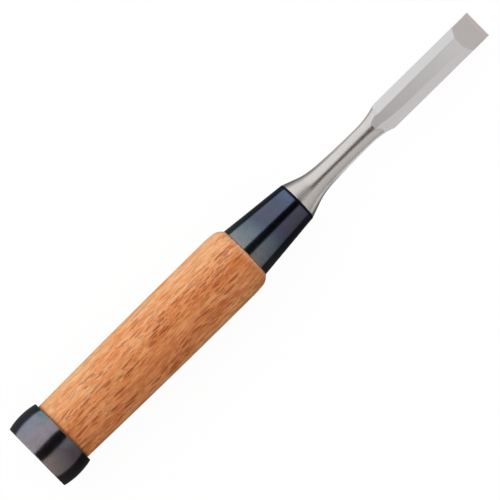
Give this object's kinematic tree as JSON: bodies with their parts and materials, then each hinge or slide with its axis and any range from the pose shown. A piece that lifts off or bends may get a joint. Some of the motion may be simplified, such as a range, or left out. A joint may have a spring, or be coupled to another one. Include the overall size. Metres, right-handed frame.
{
  "type": "striking chisel",
  "caption": "Striking bench chisel: laminated blade with bevelled top and hollow back, round neck and tang, conical steel ferrule, turned oak handle and barrel-shaped steel striking hoop.",
  "frame": {"origin": "centre of the striking face, the flat butt end of the handle inside the hoop, on the handle's axis", "axes": "+X along the handle axis towards the cutting edge, +Z towards the bevel side so that the blade's flat back faces -Z, +Y across the blade"},
  "size_m": [0.2333, 0.0312, 0.0312],
  "materials": {
    "soft_iron": "satin round neck, ground matte blade faces",
    "hard_steel": "finely honed back and edge",
    "blued_ferrule": "blue-black temper finish, semi-gloss",
    "oak": "turned and sanded red oak, thin satin finish",
    "blued_hoop": "blue-black forge finish with purple and teal tints, semi-gloss"
  },
  "bodies": {
    "root": {"blade_body": "soft_iron", "cutting_steel": "hard_steel", "ferrule": "blued_ferrule", "handle": "oak", "hoop": "blued_hoop"}
  },
  "joints": []
}
